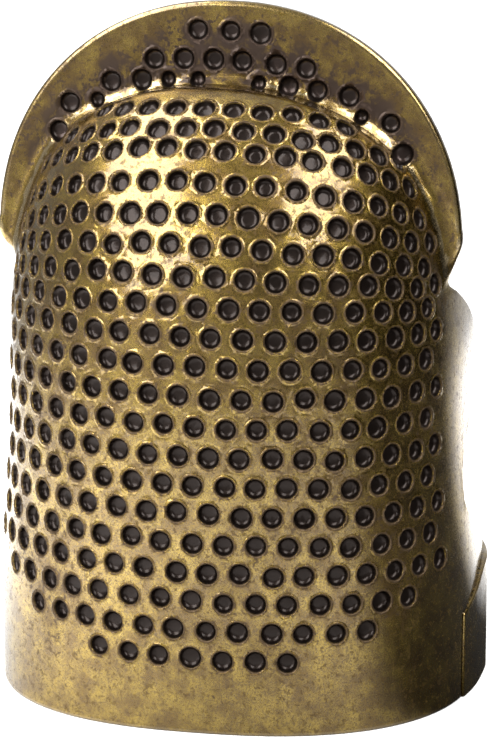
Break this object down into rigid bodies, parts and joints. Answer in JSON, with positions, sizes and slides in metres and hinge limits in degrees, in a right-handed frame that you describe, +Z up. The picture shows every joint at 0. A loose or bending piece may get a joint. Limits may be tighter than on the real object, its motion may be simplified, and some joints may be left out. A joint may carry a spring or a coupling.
{
  "type": "thimble",
  "caption": "Open-nail sewing thimble stamped from one thin brass sheet, with a dimpled front and dome, a standing needle-stop flange and a split adjustable ring band.",
  "frame": {"origin": "middle of the bounding box in plan, on the plane that the bottom rim rests on", "axes": "+Z up from the rim to the top of the flange, -Y the dimpled front over the finger pad, +Y the open nail side, +X to the right seen from the front"},
  "size_m": [0.0174, 0.0162, 0.0247],
  "materials": {
    "antique_brass": "antique patina, worn bright on the high spots"
  },
  "bodies": {
    "root": {"thimble_shell": "antique_brass"}
  },
  "joints": []
}
